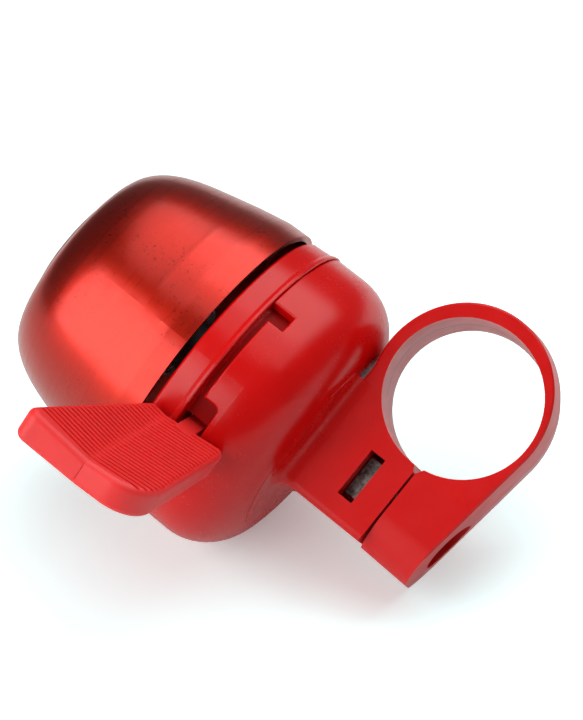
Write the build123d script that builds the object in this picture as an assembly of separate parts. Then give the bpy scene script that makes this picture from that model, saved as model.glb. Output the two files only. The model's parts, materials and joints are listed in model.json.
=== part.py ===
"""Handlebar bell: a spun dome over a geared rotor with two loose strikers, worked by a thumb lever.

Frame, in mm: the origin is the centre of the handlebar bore, +X along the bore to the rider's
right, +Y forward, +Z up along the bell's axis. The pieces of the bell itself are drawn about the
bell's axis with local +X pointing left, to the lever's side, and placed by BELL.
"""
import math
import os

from build123d import *

# Clamp
BAR_R = 11.1            # bore for a 22.2 mm handlebar
STRAP_Z = 0.4           # middle of the strap's outside
STRAP_OUT = (13.6, 12.85)   # half its length and half its height; the back is thicker
WEB_Z = 12.7            # flat top of the strap beside the neck
STRAP_EDGE = 0.3
STRAP_DRAFT = 0.4       # how much lower the sides stand than the middle
STRAP_W = 14.8          # width along the bar
BELL_Y = 17.45          # the bell's axis ahead of the bar's
NECK_BACK_Y = 6.4       # the neck's side next to the strap
NECK_FRONT_Y = 24.05    # the neck's far side
NECK_EDGE_R = 1.0
NECK_FLARE_R = 2.4      # where the neck meets the cup
LUG_Y = 24.8            # the lug's tip
LUG_Z = -9.5            # the lug's underside at its tip
LUG_TIP_R = 6.0
SPLIT_Z = -1.2          # middle of the split
SPLIT_GAP = 0.35
CLAMP_Y = 16.9          # the clamp screw's axis, at x = 0
SCREW_R = 1.95          # thread's outside
SCREW_HOLE_R = 2.25
RECESS_R = 4.1          # for the screw's head, in the lug
RECESS_Z = -4.6
NUT_SIDE = 7.0
NUT_Z = (3.0, 5.15)

# Cup
CUP_R = 21.95
CUP_CORNER_R = 8.5
CUP_BASE_Z = 13.25
CUP_RIM_Z = 26.45
CUP_RIM_R = 21.9
CUP_WALL = 1.65
FLOOR_Z = 15.0
RIM_EDGE_R = 0.3
LEDGE_Z = 25.3          # the rim stands lower between the notch and the window
NOTCH_Z = 22.9
NOTCH = (24.4, 31.6)    # bearings, degrees
WINDOW_Z = 22.6
WINDOW = (-47.5, -11.5)

# Collar and cover
COLLAR_Z = (26.5, 30.65)
COLLAR_R = (21.8, 21.5)
COLLAR_LIP_R = 22.1     # a lip round its foot
COLLAR_IN_R = 19.9
SKIRT_R = (18.9, 20.2)
SKIRT_Z = 22.8
APRON = (-20.5, -13.5)  # behind the start of the window
COVER_Z = (26.6, 28.2)

# Dome
DOME_RIM_Z = 31.7
DOME_RIM_R = 21.9
BAND_Z = 36.4           # the straighter band's top
DOME_WALL = 0.9
DISC_R = 9.9
DISC_Z = 56.25
DIMPLE_Z = 55.7

# Gears
MODULE = 0.7
PRESSURE = math.radians(25)
ADDENDUM = 0.8
DEDENDUM = 1.2
BACKLASH = 0.24
PINION_TEETH = 9
WHEEL_TEETH = 22
SECTOR_TEETH = 26       # a full circle of them; the lever carries only some
IDLER_R = MODULE * (WHEEL_TEETH + PINION_TEETH) / 2
SECTOR_TO_IDLER = MODULE * (SECTOR_TEETH + PINION_TEETH) / 2
PIVOT_R = 14.0          # the lever's pivot from the bell's axis
LEVER_AZ = -25.0        # the lever's bearing at rest
LEVER_SWING = 22.0

# Lever
ARM_Z = (23.2, 25.8)
ARM_Y = (-3.1, 0.7)     # either side of the lever's radial line
CREASE = (0.25, 27.8)   # y and z of the paddle's valley
FACE_Y = 1.35           # the paddle's face at its top and bottom edges
BACK_Y = (-3.75, -3.3)  # its back at the crease, and at its top and bottom
PADDLE = (22.7, 47.5)    # its two ends, from the bell's axis
PADDLE_Z = (18.3, 38.4)
PADDLE_EDGE_R = 1.0
RIB_PITCH = 0.92
RIB_COUNT = 25
RIB_DEPTH = 0.28

# Pins and post
POST_R = 1.5
LEVER_PIN_R = 1.25
IDLER_PIN_R = 1.0
RUNNING = 0.05
SNUG = 0.02
COVER_SCREW_R = 1.1
COVER_SCREW_RING = 17.0
COVER_SCREW_AZ = (95.0, 200.0, 290.0)

# Rotor and strikers
STRIKER_R = 13.8        # the striker pins from the bell's axis
ARM_ROTOR_Z = (31.2, 32.6)
STRIKER_Z = (32.8, 34.8)

BELL = Location((0, BELL_Y, 0), (0, 0, 180))


def polar(radius, degrees):
    a = math.radians(degrees)
    return radius * math.cos(a), radius * math.sin(a)


def rod(radius, z0, z1, at=(0, 0)):
    return Pos(at[0], at[1], (z0 + z1) / 2) * Cylinder(radius, z1 - z0)


def tube(outer, inner, z0, z1, at=(0, 0)):
    return rod(outer, z0, z1, at) - rod(inner, z0 - 1, z1 + 1, at)


def block(x, y, z):
    """A box from (low, high) pairs."""
    size = (x[1] - x[0], y[1] - y[0], z[1] - z[0])
    return Pos((x[0] + x[1]) / 2, (y[0] + y[1]) / 2, (z[0] + z[1]) / 2) * Box(*size)


def turned(face):
    """Revolve a profile drawn as (radius, height)."""
    return revolve(Plane.XZ * face, Axis.Z)


def arc_block(r0, r1, a0, a1, z0, z1):
    """Part of a ring between two bearings."""
    face = Pos((r0 + r1) / 2, (z0 + z1) / 2) * Rectangle(r1 - r0, z1 - z0)
    return Rot(0, 0, a0) * revolve(Plane.XZ * face, Axis.Z, a1 - a0)


# Where the shafts stand about the bell's axis
PIVOT = polar(PIVOT_R, LEVER_AZ)
_opening = math.degrees(math.acos(
    (PIVOT_R ** 2 + IDLER_R ** 2 - SECTOR_TO_IDLER ** 2) / (2 * PIVOT_R * IDLER_R)))
IDLER_AZ = LEVER_AZ + _opening
IDLER = polar(IDLER_R, IDLER_AZ)
MESH_AZ = math.degrees(math.atan2(IDLER[1] - PIVOT[1], IDLER[0] - PIVOT[0]))
LEVER = Location((PIVOT[0], PIVOT[1], 0), (0, 0, LEVER_AZ))


# Gears

def involute(base_r, radius):
    if radius <= base_r:
        return 0.0
    a = math.acos(base_r / radius)
    return math.tan(a) - a


def flank(teeth):
    """(radius, half the tooth's angle there) from root to tip."""
    pitch_r = MODULE * teeth / 2
    base_r = pitch_r * math.cos(PRESSURE)
    root_r = pitch_r - DEDENDUM * MODULE
    tip_r = pitch_r + ADDENDUM * MODULE
    start_r = max(base_r, root_r)
    half = math.pi / (2 * teeth) - BACKLASH / 2 / pitch_r + involute(base_r, pitch_r)
    radii = [start_r + (tip_r - start_r) * k / 4 for k in range(5)]
    if start_r > root_r:
        radii.insert(0, root_r)
    return [(r, half - involute(base_r, r)) for r in radii]


def teeth_points(teeth, phase, first, count):
    """Round the teeth first to first + count - 1; tooth 0 is centred on the bearing phase."""
    points = []
    for k in range(first, first + count):
        middle = math.radians(phase) + 2 * math.pi * k / teeth
        for r, half in flank(teeth):
            points.append((r * math.cos(middle - half), r * math.sin(middle - half)))
        for r, half in reversed(flank(teeth)):
            points.append((r * math.cos(middle + half), r * math.sin(middle + half)))
    return points


def outline(points):
    return make_face(Polyline(*points, close=True))


def gear(teeth, phase, z0, z1):
    return Pos(0, 0, z0) * extrude(outline(teeth_points(teeth, phase, 0, teeth)), z1 - z0)


def gear_sector(teeth, phase, first, count, z0, z1):
    points = [(0.0, 0.0)] + teeth_points(teeth, phase, first, count)
    return Pos(0, 0, z0) * extrude(outline(points), z1 - z0)


# Housing

def cup_corner(radius):
    """The rounded foot of the cup, or a surface inside it, drawn as (radius, height)."""
    x, z = CUP_R - CUP_CORNER_R, CUP_BASE_Z + CUP_CORNER_R
    slant = radius * math.sqrt(0.5)
    return ThreePointArc((x, z - radius), (x + slant, z - slant), (x + radius, z))


def cup_profile():
    outer = cup_corner(CUP_CORNER_R)
    inner = cup_corner(CUP_CORNER_R - CUP_WALL)
    lip = (CUP_RIM_R - CUP_WALL + 0.1, CUP_RIM_Z)
    return make_face([
        Line((0, CUP_BASE_Z), outer @ 0),
        outer,
        Line(outer @ 1, (CUP_RIM_R, CUP_RIM_Z)),
        Line((CUP_RIM_R, CUP_RIM_Z), lip),
        Line(lip, inner @ 1),
        inner,
        Line(inner @ 0, (0, FLOOR_Z)),
        Line((0, FLOOR_Z), (0, CUP_BASE_Z))])


def cup_envelope():
    """Just inside the cup's outside, filled in, to trim what stands against its wall."""
    skin = cup_corner(CUP_CORNER_R - 0.4)
    low, high = (skin @ 0), (skin @ 1)
    return turned(make_face([
        Line((0, low.Y), low), skin, Line(high, (high.X, 28)), Line((high.X, 28), (0, 28)),
        Line((0, 28), (0, low.Y))]))


def cup_shell():
    cup = turned(cup_profile())
    cup -= arc_block(20.0, 24.0, WINDOW[1] - 1, NOTCH[0] + 1, LEDGE_Z, 28)
    cup -= arc_block(18.0, 24.0, NOTCH[0], NOTCH[1], NOTCH_Z, 28)
    window = arc_block(18.0, 24.0, WINDOW[0], WINDOW[1], WINDOW_Z, 28)
    corners = [e for e in window.edges()
               if abs(e.center().Z - WINDOW_Z) < 0.01 and abs(e.length - 6) < 0.01]
    cup -= fillet(corners, 0.9)
    rim = [e for e in cup.edges()
           if math.hypot((e @ 0.5).X, (e @ 0.5).Y) > 21.5 and (e @ 0.5).Z > WINDOW_Z - 0.1]
    return fillet(rim, RIM_EDGE_R)


def bosses():
    """What stands on the cup's floor, kept inside the cup's outside."""
    low = CUP_BASE_Z
    body = rod(3.2, low, 18.3)
    body += rod(2.2, low, 17.5, IDLER)
    body += rod(2.2, low, 21.3, PIVOT)
    for degrees in COVER_SCREW_AZ:
        body += rod(2.3, low, COVER_Z[0] - SNUG, polar(COVER_SCREW_RING, degrees))
    body += LEVER * rod(0.8, low, 26.4, (4.2, 1.8))
    body += LEVER * (Rot(0, 0, -LEVER_SWING) * rod(1.0, low, 26.4, (4.2, ARM_Y[0] - 1.3)))
    return body & cup_envelope()


def boss_holes():
    cut = rod(POST_R + SNUG, 14.2, 19)
    cut += rod(IDLER_PIN_R + SNUG, 14.3, 18, IDLER)
    cut += rod(LEVER_PIN_R + SNUG, 14.3, 22, PIVOT)
    for degrees in COVER_SCREW_AZ:
        cut += rod(COVER_SCREW_R + SNUG, 20.6, 27, polar(COVER_SCREW_RING, degrees))
    return cut


def side_face(face):
    """A face drawn as (y, z), extruded over the strap's width."""
    plane = Plane(origin=(-STRAP_W / 2, 0, 0), x_dir=(0, 1, 0), z_dir=(1, 0, 0))
    return extrude(plane * face, STRAP_W)


def neck():
    """The block between the cup and the split, flared where it meets the cup's underside."""
    split = SPLIT_Z + SPLIT_GAP / 2
    body = side_face(outline([
        (BAR_R - 2, split), (NECK_FRONT_Y, split), (NECK_FRONT_Y, CUP_BASE_Z + 0.5),
        (NECK_BACK_Y, CUP_BASE_Z + 0.5), (NECK_BACK_Y, BAR_R - 2)]))
    body = fillet(body.edges().filter_by(Axis.Z).sort_by(Axis.Y)[-2:], NECK_EDGE_R)
    body += block((-13, 13), (NECK_BACK_Y, 32), (CUP_BASE_Z, FLOOR_Z - 0.3))
    inside = [e for e in body.edges()
              if abs(e.center().Z - CUP_BASE_Z) < 0.01 and abs(e.center().X) < STRAP_W / 2 + 0.01
              and NECK_BACK_Y + 0.1 < e.center().Y < NECK_FRONT_Y + 0.01]
    body = fillet(inside, NECK_FLARE_R)
    return body & rod(CUP_R - CUP_CORNER_R + 1, -5, 20, (0, BELL_Y))


def strap_face(shrink):
    """The ring, the web beside the neck, and the lug, whose underside runs tangent to the ring."""
    half_y, half_z = STRAP_OUT[0] - shrink, STRAP_OUT[1] - shrink
    face = Pos(0, STRAP_Z) * Ellipse(half_y, half_z)
    web, end = WEB_Z - shrink, NECK_BACK_Y + 0.5
    face += outline([(0.5, web), (end, web), (end, 6), (0.5, 6)])
    tip = (LUG_Y, LUG_Z + shrink)
    y, z = tip[0] / half_y, (tip[1] - STRAP_Z) / half_z
    tangent = math.atan2(z, y) - math.acos(1 / math.hypot(y, z))
    touch = (half_y * math.cos(tangent), STRAP_Z + half_z * math.sin(tangent))
    top = SPLIT_Z - SPLIT_GAP / 2
    return face + outline([(2, top), (LUG_Y - 0.3, top), tip, touch])


def strap():
    """Drafted both ways from the middle, with its long edges and the lug's corners taken off."""
    half = STRAP_W / 2
    sections = [(0, 0), (half - STRAP_EDGE, STRAP_DRAFT), (half, STRAP_DRAFT + STRAP_EDGE)]
    body = None
    for side in (-1, 1):
        for (x0, shrink0), (x1, shrink1) in zip(sections, sections[1:]):
            faces = [
                Plane(origin=(side * x, 0, 0), x_dir=(0, 1, 0), z_dir=(1, 0, 0)) * strap_face(shrink)
                for x, shrink in ((x0, shrink0), (x1, shrink1))]
            piece = loft(faces, ruled=True)
            body = piece if body is None else body + piece
    plan = Pos(0, LUG_Y / 2 - 10) * RectangleRounded(STRAP_W, LUG_Y + 20, LUG_TIP_R)
    return body & Pos(0, 0, -20) * extrude(plan, 40)


def clamp_cuts():
    cut = Pos(0, 0, 0) * (Rot(0, 90, 0) * Cylinder(BAR_R, STRAP_W + 2))
    split = (SPLIT_Z - SPLIT_GAP / 2, SPLIT_Z + SPLIT_GAP / 2)
    cut += block((-STRAP_W, STRAP_W), (BAR_R - 3, LUG_Y + 1), split)
    wedge = outline([(BAR_R - 0.6, SPLIT_Z - 1.1), (BAR_R + 1.2, SPLIT_Z), (BAR_R - 0.6, SPLIT_Z + 1.1)])
    cut += side_face(wedge)
    at = (0, CLAMP_Y)
    cut += rod(SCREW_HOLE_R, -12, 9.6, at)
    cut += rod(RECESS_R, -14, RECESS_Z, at)
    half = NUT_SIDE / 2 + 0.2
    cut += block((-STRAP_W, half), (CLAMP_Y - half, CLAMP_Y + half), (NUT_Z[0] - 0.1, NUT_Z[1] + 0.15))
    return cut


def housing():
    cup = cup_shell()
    for boss in bosses().solids():
        cup += boss
    body = BELL * cup
    body = body + neck() + strap()
    return body - clamp_cuts() - BELL * boss_holes()


# Collar, dome and what holds it

def collar_cover():
    low, high = COLLAR_Z
    ring = turned(outline([
        (COLLAR_IN_R, low), (COLLAR_LIP_R - 0.15, low), (COLLAR_LIP_R, low + 0.15),
        (COLLAR_LIP_R - 0.05, low + 0.5), (COLLAR_R[0], low + 1.0),
        (COLLAR_R[1] + 0.05, high - 0.3), (COLLAR_R[1] - 0.25, high), (COLLAR_IN_R, high)]))
    ring += tube(SKIRT_R[1], SKIRT_R[0], SKIRT_Z, COLLAR_Z[0] + 0.6)
    ring += tube(COLLAR_IN_R + 0.2, 3.6, COVER_Z[0], COVER_Z[1])
    ring -= arc_block(15.0, 21.0, WINDOW[0] - 4, WINDOW[1] - 3, SKIRT_Z - 1, COLLAR_Z[0])
    ring += arc_block(19.2, SKIRT_R[1], APRON[0], APRON[1], SKIRT_Z, COLLAR_Z[0] + 0.6)
    for degrees in COVER_SCREW_AZ:
        at = polar(COVER_SCREW_RING, degrees)
        ring -= rod(2.3 + 0.15, SKIRT_Z - 1, COVER_Z[0] - SNUG / 2, at)
        ring -= rod(COVER_SCREW_R + 0.2, 26, 29, at)
    ring -= rod(IDLER_PIN_R + SNUG, 26, 29, IDLER)
    ring -= rod(LEVER_PIN_R + SNUG, 26, 29, PIVOT)
    return ring


def dome():
    """A shallow raised disc with a dimple, the bowl, and a straighter band at the rim."""
    edge_z = DISC_Z - 0.45
    bowl = Spline(
        (DISC_R + 0.1, edge_z), (14.35, 54.75), (16.75, 52.3), (18.62, 48.2), (19.72, 44.2), (20.7, 40.2),
        (21.5, BAND_Z), tangents=((1, -0.15), (0.2, -1)))
    bend = Spline((21.5, BAND_Z), (21.8, 34.6), tangents=((0.17, -1), (0.035, -1)))
    inner = Spline(
        (DISC_R - 0.3, edge_z - 0.88), (13.8, 53.95), (15.95, 51.8), (17.7, 48.0), (18.82, 44.0),
        (19.8, 40.0), (20.6, BAND_Z), (20.92, 34.4), tangents=((1, -0.15), (0.035, -1)))
    under = DISC_Z - DOME_WALL
    edges = [
        Line((1.7, DIMPLE_Z), (4.0, DIMPLE_Z)),
        Line((4.0, DIMPLE_Z), (4.7, DISC_Z)),
        Line((4.7, DISC_Z), (DISC_R - 0.15, DISC_Z)),
        Line((DISC_R - 0.15, DISC_Z), bowl @ 0),
        bowl,
        bend,
        Line(bend @ 1, (DOME_RIM_R, DOME_RIM_Z)),
        Line((DOME_RIM_R, DOME_RIM_Z), (DOME_RIM_R - DOME_WALL, DOME_RIM_Z)),
        Line((DOME_RIM_R - DOME_WALL, DOME_RIM_Z), inner @ 1),
        inner,
        Line(inner @ 0, (DISC_R - 0.7, under)),
        Line((DISC_R - 0.7, under), (5.2, under)),
        Line((5.2, under), (4.5, DIMPLE_Z - DOME_WALL)),
        Line((4.5, DIMPLE_Z - DOME_WALL), (1.7, DIMPLE_Z - DOME_WALL)),
        Line((1.7, DIMPLE_Z - DOME_WALL), (1.7, DIMPLE_Z)),
    ]
    return turned(make_face(edges))


def cross_recess(radius, z0, z1, at=(0, 0)):
    """A cross for a screwdriver, cut from z0 to z1."""
    middle = (z0 + z1) / 2
    arm = Box(radius * 2, radius * 0.42, z1 - z0)
    return Pos(at[0], at[1], middle) * (arm + Rot(0, 0, 90) * arm)


def pan_screw(shank_r, z0, z1, head_r, head_h, at=(0, 0)):
    """Shank from z0 to z1, and a rounded head standing on z1."""
    head = rod(head_r, z1, z1 + head_h, at)
    head = fillet(head.edges().group_by(Axis.Z)[-1], head_h * 0.55)
    screw = head + rod(shank_r, z0, z1 + 0.01, at)
    screw = chamfer(screw.edges().group_by(Axis.Z)[0], shank_r * 0.25)
    return screw - cross_recess(head_r * 0.55, z1 + head_h * 0.35, z1 + head_h + 1, at)


def dome_standoff():
    column = rod(3.5, 38.4, DIMPLE_Z - 1.5)
    column = chamfer(column.edges().group_by(Axis.Z)[-1], 0.4)
    return column - rod(POST_R + SNUG, 38, 44.3) - rod(POST_R, 47, 55)


# Mechanism

def center_post():
    post = rod(POST_R, 14.3, 44.0)
    return chamfer(post.edges().group_by(Axis.Z)[-1], 0.3)


def rotor():
    gap_to_idler = IDLER_AZ + 180.0 / PINION_TEETH
    body = gear(PINION_TEETH, gap_to_idler, 19.0, 22.0)
    body += rod(2.9, 22.0, 37.0)
    arms = SlotOverall(2 * STRIKER_R + 7.6, 7.6) + Circle(6.0)
    body += Pos(0, 0, ARM_ROTOR_Z[0]) * extrude(arms, ARM_ROTOR_Z[1] - ARM_ROTOR_Z[0])
    for side in (-1, 1):
        rib = block((2.5, 6.8), (-0.7, 0.7), (ARM_ROTOR_Z[1] - 0.01, 36.0))
        slope = Pos(6.8, 0, 36.0) * Rot(0, 40, 0) * Box(8, 3, 2.5)
        body += Rot(0, 0, 0 if side > 0 else 180) * (rib - slope)
        body -= rod(2.0 + SNUG, 31, 33, (side * STRIKER_R, 0))
    return body - rod(POST_R + RUNNING, 18, 38)


def striker_pin(side):
    at = (side * STRIKER_R, 0)
    shank = rod(2.0, ARM_ROTOR_Z[0], 35.1, at)
    head = rod(3.7, 35.0, 35.8, at)
    return shank + fillet(head.edges().group_by(Axis.Z)[-1], 0.5)


def striker_washer(side):
    at = (side * STRIKER_R, 0)
    disc = rod(5.6, STRIKER_Z[0], STRIKER_Z[1], at)
    return chamfer(disc.edges(), 0.3) - rod(3.0, 30, 37, at)


def idler_gear():
    body = gear(WHEEL_TEETH, IDLER_AZ + 180.0, 19.2, 21.2)
    body += gear(PINION_TEETH, MESH_AZ + 180.0 + 180.0 / PINION_TEETH, 21.2, 26.0)
    body += rod(2.0, 17.8, 19.2)
    return Pos(IDLER[0], IDLER[1], 0) * (body - rod(IDLER_PIN_R + RUNNING, 17, 27))


def valley(depth, floor=-9.0):
    """What lies outside the paddle's V-shaped face, from depth below it but no deeper than floor."""
    y, z = CREASE
    slope = (FACE_Y - y) / 9.5
    face = outline([(y - depth, z), (y - depth + slope * 14, z + 14), (9, z + 14), (9, z - 14),
                    (y - depth + slope * 14, z - 14)])
    plane = Plane(origin=(5, 0, 0), x_dir=(0, 1, 0), z_dir=(1, 0, 0))
    return extrude(plane * face, 40) & block((0, 50), (floor, 9), (10, 45))


def paddle_outline():
    """The paddle seen square on: x from the pivot along the arm, and z."""
    root, end = PADDLE[0] - PIVOT_R, PADDLE[1] - PIVOT_R
    low, high = PADDLE_Z
    shape = outline([
        (root, low + 0.1), (end, low), (end, CREASE[1]), (end + 0.8, high), (root + 0.2, 30.9)])
    for x, z, radius in ((end, low, 5.5), (end + 0.8, high, 1.6)):
        corner = [v for v in shape.vertices() if abs(v.X - x) < 0.01 and abs(v.Y - z) < 0.01]
        shape = fillet(corner, radius)
    return shape


def paddle_half(far):
    """From the crease to the height far, with a tilted back and face and rounded edges."""
    crease = CREASE[1]
    beyond = far * 2 - crease
    body = Pos(0, FACE_Y + 0.4, 0) * extrude(Plane.XZ * paddle_outline(), FACE_Y + 0.4 - BACK_Y[0])
    body &= block((0, 50), (-9, 9), (min(crease, beyond), max(crease, beyond)))
    back = outline([(BACK_Y[0] - 1, crease), (BACK_Y[0], crease),
                    (BACK_Y[1] * 2 - BACK_Y[0], beyond), (BACK_Y[0] - 1, beyond)])
    body -= extrude(Plane(origin=(5, 0, 0), x_dir=(0, 1, 0), z_dir=(1, 0, 0)) * back, 40)
    body -= valley(0)
    for which in (-1, 0):
        flat = body.faces().sort_by(Axis.Y)[which]
        rim = [e for e in flat.edges()
               if e.center().X > PADDLE[0] - PIVOT_R + 0.5 and abs(e.center().Z - crease) > 0.3]
        body = fillet(rim, PADDLE_EDGE_R)
    return body


def paddle():
    """Drawn in the lever's frame: x from the pivot along the arm, y across it, z up."""
    root, end = PADDLE[0] - PIVOT_R, PADDLE[1] - PIVOT_R
    body = paddle_half(PADDLE_Z[0]) + paddle_half(PADDLE_Z[1])
    relief = outline([(root - 1, 0.2), (root, 0.2), (root + 2.0, -5), (root - 1, -5)])
    body -= Pos(0, 0, 17) * extrude(relief, 16)
    body -= block((end - 0.12, end + 2), (-6, 3), (CREASE[1] - 0.08, CREASE[1] + 0.08))
    comb = None
    for k in range(RIB_COUNT):
        x = root + 0.75 + k * RIB_PITCH
        strip = block((x, x + 0.42), (-1, 3), (17, 40))
        comb = strip if comb is None else comb + strip
    return body - (comb & valley(RIB_DEPTH, CREASE[0] - 0.1))


def thumb_lever():
    phase = MESH_AZ - LEVER_AZ
    body = gear_sector(SECTOR_TEETH, phase, -1, 5, ARM_Z[0], ARM_Z[1])
    body += rod(3.0, 21.6, 26.3)
    body += block((0, 10.5), ARM_Y, ARM_Z)
    body += paddle()
    return LEVER * (body - rod(LEVER_PIN_R + RUNNING, 21, 27))


def lever_spring():
    """A coil round the lever's boss: one leg rests on the housing's stop, the other on the arm."""
    coil_r, wire_r, pitch = 2.9, 0.25, 0.72
    peg = (5.0, ARM_Y[0] - wire_r - 0.05)
    reach = math.hypot(*peg)
    end = math.atan2(peg[1], peg[0]) - math.acos(coil_r / reach)
    turns = (end - math.pi / 2) / (2 * math.pi) + 4
    path = Pos(0, 0, 18.4) * (Rot(0, 0, 90) * Helix(pitch, pitch * turns, coil_r))

    def leg(start, way, length):
        return extrude(Plane(origin=start, z_dir=way) * Circle(wire_r), length)

    arm_leg = math.sqrt(reach ** 2 - coil_r ** 2)
    knee = path @ 1 + path % 1 * arm_leg
    body = sweep(Plane(origin=path @ 0, z_dir=path % 0) * Circle(wire_r), path=path, is_frenet=True)
    body += leg(path @ 0, path % 0 * -1, 4.9)
    body += leg(path @ 1, path % 1, arm_leg)
    body += Pos(knee) * Sphere(wire_r) + leg(knee, Vector(0, 0, 1), 25.0 - knee.Z)
    return LEVER * body


# Fasteners

def square_nut():
    nut = Box(NUT_SIDE, NUT_SIDE, NUT_Z[1] - NUT_Z[0])
    nut = chamfer(nut.edges().filter_by(Axis.Z), 0.5)
    nut = Pos(0, CLAMP_Y, (NUT_Z[0] + NUT_Z[1]) / 2) * nut
    return nut - rod(SCREW_R + RUNNING, 0, 9, (0, CLAMP_Y))


def clamp_screw():
    """Shank up from the head, which hangs in the lug's recess."""
    top = RECESS_Z - 0.8 - 0.1
    screw = Rot(180, 0, 0) * pan_screw(SCREW_R, -8.6, -top, 3.5, 2.6)
    return Pos(0, CLAMP_Y, 0) * screw


def cover_screw(degrees):
    at = polar(COVER_SCREW_RING, degrees)
    return pan_screw(COVER_SCREW_R, 20.9, COVER_Z[1] + SNUG, 2.0, 1.3, at)


def group(shapes):
    """Equal pieces about the bell's axis, as separate solids of one node."""
    return Compound([(BELL * s).solid() for s in shapes])


NODES = {
    "housing": housing,
    "collar_cover": lambda: BELL * collar_cover(),
    "dome": lambda: BELL * dome(),
    "dome_seat": lambda: BELL * tube(5.0, 1.7, DIMPLE_Z - 1.5 + SNUG, DIMPLE_Z - DOME_WALL - SNUG),
    "dome_washer": lambda: BELL * tube(3.6, 1.7, DIMPLE_Z + SNUG, DIMPLE_Z + 0.4),
    "dome_screw": lambda: BELL * pan_screw(POST_R - SNUG, 47.6, DIMPLE_Z + 0.4 + SNUG, 2.7, 1.5),
    "dome_standoff": lambda: BELL * dome_standoff(),
    "center_post": lambda: BELL * center_post(),
    "rotor_thrust_washer": lambda: BELL * tube(3.0, POST_R + RUNNING, 18.3 + SNUG, 18.8),
    "rotor": lambda: BELL * rotor(),
    "rotor_clip": lambda: BELL * tube(2.8, POST_R + SNUG, 37.3, 37.9),
    "striker_pins": lambda: group([striker_pin(-1), striker_pin(1)]),
    "striker_washer_a": lambda: BELL * striker_washer(1),
    "striker_washer_b": lambda: BELL * striker_washer(-1),
    "idler_gear": lambda: BELL * idler_gear(),
    "idler_pin": lambda: BELL * rod(IDLER_PIN_R, 14.4, COVER_Z[1], IDLER),
    "thumb_lever": lambda: BELL * thumb_lever(),
    "lever_pin": lambda: BELL * rod(LEVER_PIN_R, 14.4, COVER_Z[1], PIVOT),
    "lever_spring": lambda: BELL * lever_spring(),
    "cover_screws": lambda: group([cover_screw(a) for a in COVER_SCREW_AZ]),
    "clamp_screw": clamp_screw,
    "clamp_washer": lambda: tube(3.8, 2.2, RECESS_Z - 0.8, RECESS_Z - SNUG, (0, CLAMP_Y)),
    "clamp_nut": square_nut,
}

os.makedirs("parts", exist_ok=True)
for name, make in NODES.items():
    shape = make()
    shape.label = name
    export_step(shape, "parts/" + name + ".step")
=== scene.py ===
"""Looks for the handlebar bell. Row frame: origin at the centre of the handlebar bore, +X to the
rider's right, +Y forward, +Z up along the bell's axis. Lengths are in metres; MM turns mm to metres.
"""
import json
import math

import bpy
import numpy as np
from mathutils import Matrix, Vector


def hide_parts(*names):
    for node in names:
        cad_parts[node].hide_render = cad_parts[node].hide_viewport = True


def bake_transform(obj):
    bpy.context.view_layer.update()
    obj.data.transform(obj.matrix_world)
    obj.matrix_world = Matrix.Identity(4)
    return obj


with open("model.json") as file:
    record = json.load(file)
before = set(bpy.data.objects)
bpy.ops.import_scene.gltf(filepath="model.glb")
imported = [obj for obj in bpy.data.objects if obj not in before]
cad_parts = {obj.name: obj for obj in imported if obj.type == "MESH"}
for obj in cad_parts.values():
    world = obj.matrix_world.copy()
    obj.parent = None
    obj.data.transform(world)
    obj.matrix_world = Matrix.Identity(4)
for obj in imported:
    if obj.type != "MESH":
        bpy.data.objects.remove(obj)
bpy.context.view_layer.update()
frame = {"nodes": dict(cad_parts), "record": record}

MM = 0.001
BELL_Y = 17.45 * MM                          # the bell's axis, at x = 0
BELL_CENTRE = Vector((0, 12, 25)) * MM       # what the lights stand around

# ---------------------------------------------------------------- camera
CAMERA_AIM = Vector((0.0, 10.4, 23.0)) * MM
CAMERA_DISTANCE = 498.3 * MM
CAMERA_TOWARD = Vector((-0.98457, 0.01269, -0.17451)).normalized()   # from the aim point
CAMERA_ROLL = math.radians(-51.27)
CAMERA_LENS = 179.6
CAMERA_ELEVATION = math.radians(38.0)        # over the floor that the bell lies on


def make_camera():
    data = bpy.data.cameras.new("camera")
    data.lens = CAMERA_LENS
    data.sensor_width = 36.0
    data.clip_start, data.clip_end = 0.01, 50.0
    camera = bpy.data.objects.new("camera", data)
    bpy.context.collection.objects.link(camera)
    turn = (-CAMERA_TOWARD).to_track_quat("-Z", "Y").to_matrix() @ Matrix.Rotation(CAMERA_ROLL, 3, "Z")
    camera.matrix_world = Matrix.Translation(CAMERA_AIM + CAMERA_TOWARD * CAMERA_DISTANCE) @ turn.to_4x4()
    bpy.context.scene.camera = camera
    return turn


camera_turn = make_camera()
image_up = camera_turn @ Vector((0, 1, 0))
image_right = camera_turn @ Vector((1, 0, 0))
floor_normal = image_up * math.cos(CAMERA_ELEVATION) + CAMERA_TOWARD * math.sin(CAMERA_ELEVATION)
floor_normal.normalize()


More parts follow.
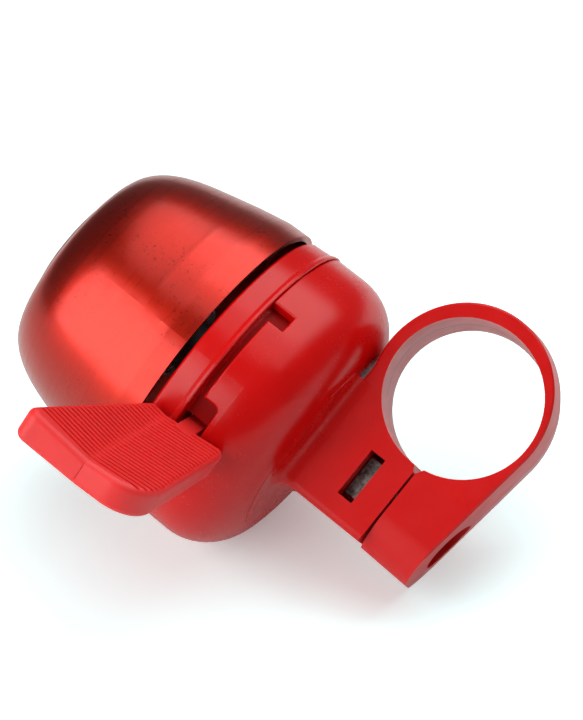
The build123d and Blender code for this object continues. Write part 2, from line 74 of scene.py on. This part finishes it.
# ---------------------------------------------------------------- node helpers
class Nodes:
    """A short way to write node trees: n("ShaderNodeMath", {0: a, 1: 2.0}, operation="ADD")."""

    def __init__(self, name):
        self.material = bpy.data.materials.new(name)
        self.material.use_nodes = True
        self.tree = self.material.node_tree
        self.tree.nodes.clear()
        self.out = self.tree.nodes.new("ShaderNodeOutputMaterial")

    def __call__(self, kind, inputs=None, **settings):
        node = self.tree.nodes.new(kind)
        for key, value in settings.items():
            setattr(node, key, value)
        for key, value in (inputs or {}).items():
            if isinstance(value, bpy.types.NodeSocket):
                self.tree.links.new(value, node.inputs[key])
            else:
                node.inputs[key].default_value = value
        return node

    def math(self, operation, a, b=0.0):
        return self("ShaderNodeMath", {0: a, 1: b}, operation=operation).outputs[0]

    def object_coords(self):
        return self("ShaderNodeTexCoord").outputs["Object"]

    def xyz(self, vector):
        return tuple(self("ShaderNodeSeparateXYZ", {0: vector}).outputs)

    def noise(self, vector, scale, detail=2.0, rough=0.5, distortion=0.0):
        return self("ShaderNodeTexNoise", {
            "Vector": vector, "Scale": scale, "Detail": detail, "Roughness": rough,
            "Distortion": distortion}).outputs["Fac"]

    def ramp(self, factor, stops):
        node = self("ShaderNodeValToRGB", {"Fac": factor})
        elements = node.color_ramp.elements
        while len(elements) < len(stops):
            elements.new(0.5)
        for element, (place, colour) in zip(elements, stops):
            element.position = place
            element.color = (*colour, 1.0)
        return node.outputs["Color"]

    def mix(self, factor, first, second):
        """Colours mixed: a socket or a plain (r, g, b) on either side."""
        sides = [side if isinstance(side, bpy.types.NodeSocket) else (*side, 1.0) for side in (first, second)]
        inputs = {"Factor": factor, 6: sides[0], 7: sides[1]}
        return self("ShaderNodeMix", inputs, data_type="RGBA").outputs[2]

    def span(self, value, low, high, to_low, to_high):
        """value carried from low..high to to_low..to_high, and held at the ends."""
        return self("ShaderNodeMapRange", {
            "Value": value, "From Min": low, "From Max": high,
            "To Min": to_low, "To Max": to_high}).outputs[0]

    def bump(self, height, distance, strength=1.0, normal=None):
        inputs = {"Height": height, "Distance": distance, "Strength": strength}
        if normal is not None:
            inputs["Normal"] = normal
        return self("ShaderNodeBump", inputs).outputs["Normal"]

    def principled(self, **inputs):
        shader = self("ShaderNodeBsdfPrincipled", {k.replace("_", " "): v for k, v in inputs.items()})
        self.tree.links.new(shader.outputs[0], self.out.inputs["Surface"])
        return shader


def grey(value):
    return (value, value, value, 1.0)


# ---------------------------------------------------------------- materials
def around_bell(n):
    """(radius from the bell's axis, height) as two sockets."""
    x, y, z = n.xyz(n.object_coords())
    ahead = n.math("SUBTRACT", y, BELL_Y)
    squares = n.math("ADD", n.math("MULTIPLY", x, x), n.math("MULTIPLY", ahead, ahead))
    return n.math("SQRT", squares), z


def parting_line(n, where):
    """1 on the hairline where the two halves of the housing's mould met, round the strap and the lug."""
    x, y, z = n.xyz(where)
    hair = n.span(n.math("ABSOLUTE", x), 0.16 * MM, 0.30 * MM, 1.0, 0.0)
    below = n.math("LESS_THAN", z, -1.5 * MM)
    behind = n.math("LESS_THAN", y, 6.0 * MM)
    low = n.math("LESS_THAN", z, 12.9 * MM)
    return n.math("MULTIPLY", hair, n.math("MULTIPLY", n.math("MAXIMUM", below, behind), low))


def red_plastic(name, parted=False, satin_and_painted_light=0.0, shade_painted_below=None):
    """Glossy moulded plastic: faint flow marks, an uneven sheen and a few fine scuffs.

    parted draws the mould's parting line. The satin amount dulls it and also paints it paler and pinker:
    painted light and a painted sheen. The last argument is a height under which shade is painted: a darker,
    duller red.
    """
    n = Nodes(name)
    where = n.object_coords()
    height = n.xyz(where)[2]
    # satin also paints the colour paler and pinker: painted light and a painted sheen on the lever
    painted_light_red = 1.32 * satin_and_painted_light
    painted_sheen = 0.09 * satin_and_painted_light
    colour = n.ramp(n.noise(where, 90.0, 3.0, distortion=0.6), [
        (0.3, (0.58 + painted_light_red, 0.0018 + painted_sheen, 0.0018 + painted_sheen)),
        (0.7, (0.65 + painted_light_red, 0.0032 + painted_sheen, 0.0030 + painted_sheen))])
    peel = n.noise(where, 900.0, 2.0)
    speck = n.span(n.noise(where, 3500.0, 1.0), 0.60, 0.8, 0.0, 0.04)
    scuff = n.noise(where, 260.0, 4.0, 0.6, 0.4)
    rough = n.math("ADD", n.span(scuff, 0.35, 0.75, 0.21 + 2.0 * satin_and_painted_light, 0.29 + 2.0 * satin_and_painted_light), speck)
    gloss = 0.32 + 2.1 * satin_and_painted_light
    normal = n.bump(peel, 0.02 * MM, 0.4)
    if shade_painted_below is not None:
        # painted shade: below the given height the red turns darker, rougher and less glossy, for the
        # collar's recessed skirt
        ragged = n.span(n.noise(where, 700.0, 3.0), 0.3, 0.7, -0.15 * MM, 0.15 * MM)
        shade_line = n.math("ADD", height, ragged)
        painted_shade = n.span(shade_line, (shade_painted_below - 0.2) * MM, shade_painted_below * MM, 0.75, 0.0)
        colour = n.mix(painted_shade, colour, (0.20, 0.001, 0.001))
        rough = n.math("ADD", rough, n.math("MULTIPLY", painted_shade, 0.25))
        gloss = n.span(painted_shade, 0.0, 0.75, gloss, 0.08)
    if parted:
        duller = n.span(height, 11.0 * MM, 14.0 * MM, 0.08, 0.0)      # the clamp is less glossy than the cup
        rough = n.math("ADD", rough, duller)
        line = parting_line(n, where)
        colour = n.mix(n.math("MULTIPLY", line, 0.85), colour, (0.05, 0.001, 0.001))
        normal = n.bump(n.math("SUBTRACT", 1.0, line), 0.03 * MM, 0.6, normal)
    n.principled(
        Base_Color=colour, Roughness=rough, Normal=normal, IOR=1.5, Specular_IOR_Level=gloss,
        Subsurface_Weight=0.12 + 2.0 * satin_and_painted_light, Subsurface_Radius=(1.0, 0.08, 0.06), Subsurface_Scale=0.8 * MM)
    return n.material


def red_anodised():
    """Spun metal under a clear red film: fine turning lines, patches of pits, and a whiter sheen over it."""
    n = Nodes("red_anodised")
    where = n.object_coords()
    radius, height = around_bell(n)
    along = n("ShaderNodeCombineXYZ", {0: radius, 1: height}).outputs[0]
    lines = n.noise(along, 9000.0, 2.0, 0.6)
    broad = n.noise(along, 900.0, 2.0)
    patch = n.noise(where, 70.0, 3.0)
    pits = n.span(n.noise(where, 2300.0, 2.0, 0.6), 0.60, 0.68, 0.0, 1.0)
    worn = n.span(n.noise(where, 120.0, 3.0, 0.6), 0.45, 0.62, 0.0, 1.0)
    specks = n.math("MULTIPLY", pits, worn)
    dark = n.math("ADD", n.math("MULTIPLY", specks, 0.8), n.span(lines, 0.35, 0.65, 0.0, 0.10))
    film = n.ramp(patch, [(0.3, (0.48, 0.014, 0.003)), (0.7, (0.54, 0.017, 0.004))])
    rough = n.math("ADD", n.span(lines, 0.3, 0.7, 0.27, 0.36), n.span(broad, 0.3, 0.7, -0.02, 0.03))
    sheen = n.span(n.noise(where, 500.0, 4.0), 0.35, 0.75, 0.17, 0.26)
    relief = n.math("SUBTRACT", lines, n.math("MULTIPLY", specks, 0.6))
    n.principled(
        Base_Color=n.mix(dark, film, (0.16, 0.002, 0.002)), Metallic=1.0, Roughness=rough, Anisotropic=0.3,
        Normal=n.bump(relief, 0.005 * MM, 0.45),
        Coat_Weight=0.60, Coat_IOR=1.5, Coat_Roughness=sheen, Coat_Tint=(1.0, 0.82, 0.70, 1.0))
    return n.material


def metal(name, dark, light, rough, scale=1500.0, scratch=0.5):
    """Plain metal: fine grain, cloudy patches and short scratches."""
    n = Nodes(name)
    where = n.object_coords()
    grain = n.noise(where, scale, 3.0, 0.6)
    cloud = n.noise(where, 300.0, 4.0, 0.6, 0.8)
    tone = n.math("ADD", n.math("MULTIPLY", grain, 0.5), n.math("MULTIPLY", cloud, 0.5))
    stretch = {"Vector": where, "Rotation": (0.5, 0.9, 0.3), "Scale": (1.0, 9.0, 9.0)}
    stretched = n("ShaderNodeMapping", stretch).outputs[0]
    marks = n.span(n.noise(stretched, scale * 0.5, 3.0, 0.7), 0.60, 0.75, 0.0, 1.0)
    clouded = n.span(cloud, 0.3, 0.7, rough - 0.05, rough + 0.08)
    fine = n.bump(grain, 0.01 * MM, 0.4)
    n.principled(
        Base_Color=n.ramp(tone, [(0.35, dark), (0.65, light)]), Metallic=1.0,
        Roughness=n.math("ADD", clouded, n.math("MULTIPLY", marks, 0.1)),
        Normal=n.bump(n.math("SUBTRACT", 1.0, marks), 0.006 * MM, scratch, fine))
    return n.material


def moulded(name, dark, light, rough, scale=2500.0, glow=0.0):
    """Plain moulded plastic or rubber: a satin grain over soft patches. glow is light let through it."""
    n = Nodes(name)
    where = n.object_coords()
    grain = n.noise(where, scale, 2.0)
    patch = n.noise(where, 200.0, 3.0, distortion=0.5)
    grained = n.span(grain, 0.3, 0.7, rough - 0.06, rough + 0.06)
    n.principled(
        Base_Color=n.ramp(patch, [(0.3, dark), (0.7, light)]),
        Roughness=n.math("ADD", grained, n.span(patch, 0.3, 0.7, -0.03, 0.03)),
        Normal=n.bump(grain, 0.012 * MM, 0.5),
        Subsurface_Weight=glow, Subsurface_Radius=(1.0, 0.9, 0.7), Subsurface_Scale=0.5 * MM)
    return n.material


MATERIALS = {
    "red_plastic": red_plastic("red_plastic"),
    "red_anodised": red_anodised(),
    "zinc_steel": metal("zinc_steel", (0.52, 0.53, 0.55), (0.68, 0.69, 0.70), 0.28),
    "bright_steel": metal("bright_steel", (0.50, 0.50, 0.51), (0.62, 0.62, 0.63), 0.22, 2500.0),
    "turned_brass": metal("turned_brass", (0.62, 0.42, 0.16), (0.74, 0.54, 0.24), 0.25, 2500.0),
    "white_nylon": moulded("white_nylon", (0.70, 0.69, 0.64), (0.80, 0.79, 0.74), 0.42, glow=0.2),
    "black_plastic": moulded("black_plastic", (0.010, 0.010, 0.011), (0.022, 0.022, 0.023), 0.38),
    "black_rubber": moulded("black_rubber", (0.012, 0.012, 0.012), (0.025, 0.025, 0.025), 0.65),
}
OWN_LOOKS = {     # nodes that look different from the rest of their slot
    "housing": red_plastic("red_plastic_parted", parted=True),
    # the nut's zinc is painted dark and reddish: painted shade of its pocket and a painted red reflection
    "clamp_nut": metal("zinc_painted_shade", (0.07, 0.05, 0.05), (0.48, 0.45, 0.42), 0.30, 2200.0, 1.0),
    # painted shade on the collar's recessed skirt, below 26.4 mm
    "collar_cover": red_plastic("red_plastic_painted_shade", shade_painted_below=26.4),
    # the lever's red is painted paler and pinker: painted light and a painted sheen
    "thumb_lever": red_plastic("red_plastic_satin_painted_light", satin_and_painted_light=0.14),
}
SLOTS = {part["node"]: part["material_slot"] for part in frame["record"]["subparts"]}


def dress(obj, material):
    obj.data.materials.clear()
    obj.data.materials.append(material)


for node, obj in frame["nodes"].items():
    dress(obj, OWN_LOOKS.get(node, MATERIALS[SLOTS[node]]))


# ---------------------------------------------------------------- the lever's spring, which twists with it
PIVOT = Vector((-12.6883, 23.3667, 0.0))     # mm, the lever's pivot
LEVER_TURN = math.radians(155.0)             # the lever's own +X from the row's
COIL_R, WIRE_R, PITCH, COIL_Z = 2.9, 0.25, 0.72, 18.4
WHOLE_TURNS = 4
PEG = (5.0, -3.4)                            # where the upper leg stands against the arm
PEG_TOP, LOWER_LEG = 25.0, 4.9
BEND_R = 0.35                                # of the upper leg's upturned end
COIL_STEPS, LEG_STEPS, WIRE_SIDES = 170, 6, 14
END_SHARE = 0.72                             # of the wire's radius, at its two ends


def spring_path():
    """Points along the wire in the lever's frame: lower leg, coil, upper leg, and its upturned end."""
    reach = math.hypot(*PEG)
    first = math.pi / 2
    last = math.atan2(PEG[1], PEG[0]) - math.acos(COIL_R / reach) + WHOLE_TURNS * 2 * math.pi
    rise = PITCH / (2 * math.pi)

    def coil(angle):
        return Vector((COIL_R * math.cos(angle), COIL_R * math.sin(angle), COIL_Z + rise * (angle - first)))

    def heading(angle):
        return Vector((-COIL_R * math.sin(angle), COIL_R * math.cos(angle), rise)).normalized()

    leg = math.sqrt(reach ** 2 - COIL_R ** 2)
    knee = coil(last) + heading(last) * leg
    points = [coil(first) - heading(first) * LOWER_LEG * k / LEG_STEPS for k in range(LEG_STEPS, 0, -1)]
    points += [coil(first + (last - first) * k / COIL_STEPS) for k in range(COIL_STEPS + 1)]
    points += [coil(last) + heading(last) * (leg - BEND_R) * k / (LEG_STEPS - 1) for k in range(1, LEG_STEPS)]
    for k in range(1, LEG_STEPS):
        a = k / LEG_STEPS * math.pi / 2
        up = Vector((0, 0, BEND_R * (1 - math.cos(a))))
        points.append(knee - heading(last) * BEND_R * (1 - math.sin(a)) + up)
    foot = knee.z + BEND_R
    for k in range(LEG_STEPS + 1):
        points.append(Vector((knee.x, knee.y, foot + (PEG_TOP - foot) * k / LEG_STEPS)))
    return points


def wire_mesh(name, points, radius, sides=WIRE_SIDES):
    """A round wire along points, with its ends narrowed."""
    verts, faces = [], []
    side = None
    rings = len(points)
    for i, point in enumerate(points):
        ahead = (points[min(i + 1, rings - 1)] - points[max(i - 1, 0)]).normalized()
        if side is None:
            side = ahead.orthogonal().normalized()
        side = (side - ahead * side.dot(ahead)).normalized()
        other = ahead.cross(side)
        share = END_SHARE if i in (0, rings - 1) else 1.0
        for k in range(sides):
            a = 2 * math.pi * k / sides
            verts.append(point + (side * math.cos(a) + other * math.sin(a)) * radius * share)
    for start in range(0, (rings - 1) * sides, sides):
        for k in range(sides):
            after = (k + 1) % sides
            faces.append((start + k, start + after, start + sides + after, start + sides + k))
    faces.append(tuple(reversed(range(sides))))
    faces.append(tuple((rings - 1) * sides + k for k in range(sides)))
    mesh = bpy.data.meshes.new(name)
    mesh.from_pydata([tuple(v) for v in verts], [], faces)
    mesh.polygons.foreach_set("use_smooth", [True] * len(mesh.polygons))
    mesh.update()
    return mesh


def make_spring():
    turn = Matrix.Rotation(LEVER_TURN, 3, "Z")
    points = [(turn @ point + PIVOT) * MM for point in spring_path()]
    spring = bpy.data.objects.new("return_spring", wire_mesh("return_spring", points, WIRE_R * MM))
    bpy.context.collection.objects.link(spring)
    dress(spring, MATERIALS[SLOTS["lever_spring"]])
    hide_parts("lever_spring")
    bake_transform(spring)


make_spring()


# ---------------------------------------------------------------- floor and light
FLOOR_HALF = 3.0
NEAR_FLOOR, FAR_FLOOR = 0.10, 0.35           # from the bell: where its red spills, and the clear sweep
BELL_GLOW = 0.08                             # how much the floor shines on the bell
SEEN_GLOW, SEEN_FAR_GLOW = 0.26, 0.9         # how much it shines to the camera, near and far
WORLD_GLOW = 0.13


def floor_offset():
    """How far below the origin, along the floor's normal, the bell's lowest point is."""
    low = 0.0
    for obj in frame["nodes"].values():
        if obj.hide_render:
            continue
        flat = np.empty(len(obj.data.vertices) * 3)
        obj.data.vertices.foreach_get("co", flat)
        world = np.array(obj.matrix_world)
        points = flat.reshape(-1, 3) @ world[:3, :3].T + world[:3, 3]
        low = min(low, float((points @ np.array(floor_normal)).min()))
    return low


def floor_material(centre):
    """A white sweep, seen by the camera lighter than it lights the bell, as in an overexposed studio shot.

    Near the bell it holds back some red, so that light off the bell leaves its shadow grey. It can be seen
    through from below.
    """
    n = Nodes("floor")
    where = n.object_coords()
    mottle = n.span(n.noise(where, 8.0, 2.0), 0.3, 0.7, 0.98, 1.02)
    apart = n("ShaderNodeVectorMath", {0: where, 1: tuple(centre)}, operation="DISTANCE").outputs["Value"]
    away = n.span(apart, NEAR_FLOOR, FAR_FLOOR, 0.0, 1.0)

    def lit(near, far, glow):
        colour = n("ShaderNodeVectorMath", {0: n.mix(away, near, far), "Scale": mottle}, operation="SCALE")
        diffuse = n("ShaderNodeBsdfDiffuse", {"Color": colour.outputs[0]})
        shine = n("ShaderNodeEmission", {"Color": grey(1.0), "Strength": glow})
        return n("ShaderNodeAddShader", {0: diffuse.outputs[0], 1: shine.outputs[0]}).outputs[0]

    to_bell = lit((0.68, 0.76, 0.76), (0.70, 0.70, 0.70), BELL_GLOW)
    to_camera = lit((0.90, 1.18, 1.18), (1.2, 1.2, 1.2), n.span(away, 0.0, 1.0, SEEN_GLOW, SEEN_FAR_GLOW))
    seen = n("ShaderNodeLightPath").outputs["Is Camera Ray"]
    front = n("ShaderNodeMixShader", {0: seen, 1: to_bell, 2: to_camera})
    clear = n("ShaderNodeBsdfTransparent")
    behind = n("ShaderNodeNewGeometry").outputs["Backfacing"]
    mix = n("ShaderNodeMixShader", {0: behind, 1: front.outputs[0], 2: clear.outputs[0]})
    n.tree.links.new(mix.outputs[0], n.out.inputs["Surface"])
    return n.material


def make_floor():
    centre = floor_normal * floor_offset()
    across = image_right * FLOOR_HALF
    deep = floor_normal.cross(image_right).normalized() * FLOOR_HALF
    corners = [centre + across * i + deep * j for i, j in ((-1, -1), (1, -1), (1, 1), (-1, 1))]
    mesh = bpy.data.meshes.new("floor")
    mesh.from_pydata([tuple(corner) for corner in corners], [], [(0, 1, 2, 3)])
    mesh.update()
    mesh.materials.append(floor_material(centre))
    floor = bpy.data.objects.new("floor", mesh)
    bpy.context.collection.objects.link(floor)


def studio_direction(azimuth, elevation):
    """From the bell, in degrees over the floor: azimuth 0 is towards the camera, 90 to its right."""
    front = (CAMERA_TOWARD - floor_normal * CAMERA_TOWARD.dot(floor_normal)).normalized()
    a, e = math.radians(azimuth), math.radians(elevation)
    return (front * math.cos(a) + image_right * math.sin(a)) * math.cos(e) + floor_normal * math.sin(e)


def softbox(name, azimuth, elevation, size, power, distance=0.6):
    """A rectangular light that faces the bell's centre."""
    data = bpy.data.lights.new(name, "AREA")
    data.shape = "RECTANGLE"
    data.size, data.size_y = size
    data.energy = power
    light = bpy.data.objects.new(name, data)
    toward = studio_direction(azimuth, elevation).normalized()
    facing = toward.to_track_quat("Z", "Y").to_matrix().to_4x4()
    light.matrix_world = Matrix.Translation(BELL_CENTRE + toward * distance) @ facing
    bpy.context.collection.objects.link(light)


def make_lights():
    world = bpy.data.worlds.new("world")
    world.use_nodes = True
    background = world.node_tree.nodes["Background"]
    background.inputs["Color"].default_value = grey(1.0)
    background.inputs["Strength"].default_value = WORLD_GLOW
    bpy.context.scene.world = world
    softbox("left", -60, 24, (0.60, 0.50), 3.3)
    softbox("overhead", 120, 70, (0.88, 0.80), 2.9)
    softbox("top", 125, 62, (0.50, 0.50), 1.2)


make_floor()
make_lights()
view = bpy.context.scene.view_settings
view.view_transform = "Standard"
view.look = "None"
